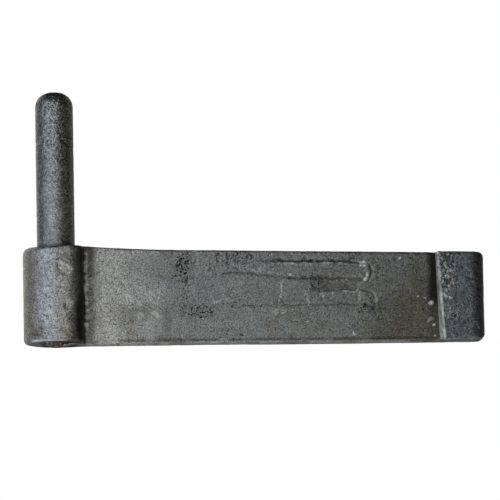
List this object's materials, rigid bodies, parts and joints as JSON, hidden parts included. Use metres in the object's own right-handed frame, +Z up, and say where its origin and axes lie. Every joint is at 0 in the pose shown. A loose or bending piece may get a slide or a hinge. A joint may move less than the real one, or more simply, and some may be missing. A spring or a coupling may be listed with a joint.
{
  "type": "door hinge pintle",
  "caption": "Fixed half of a forged strap hinge: a flat bar rolled round an upright pin on which the door's eye turns, with a folded heel at its far end.",
  "frame": {"origin": "on the pin's axis, level with the shoulder on top of the eye that the door's own eye rests on", "axes": "+Z up the pin, +X along the strap from the eye to the heel, +Y out of the strap's flat back"},
  "size_m": [0.1954, 0.0282, 0.1067],
  "materials": {
    "forged_bar": "hammered dark steel with forge scale and oil, satin",
    "pin_steel": "finely pitted dark steel, satin",
    "weld_metal": "rough rust-brown weld"
  },
  "bodies": {
    "root": {"strap": "forged_bar", "hinge_pin": "pin_steel", "pin_weld": "weld_metal"}
  },
  "joints": []
}
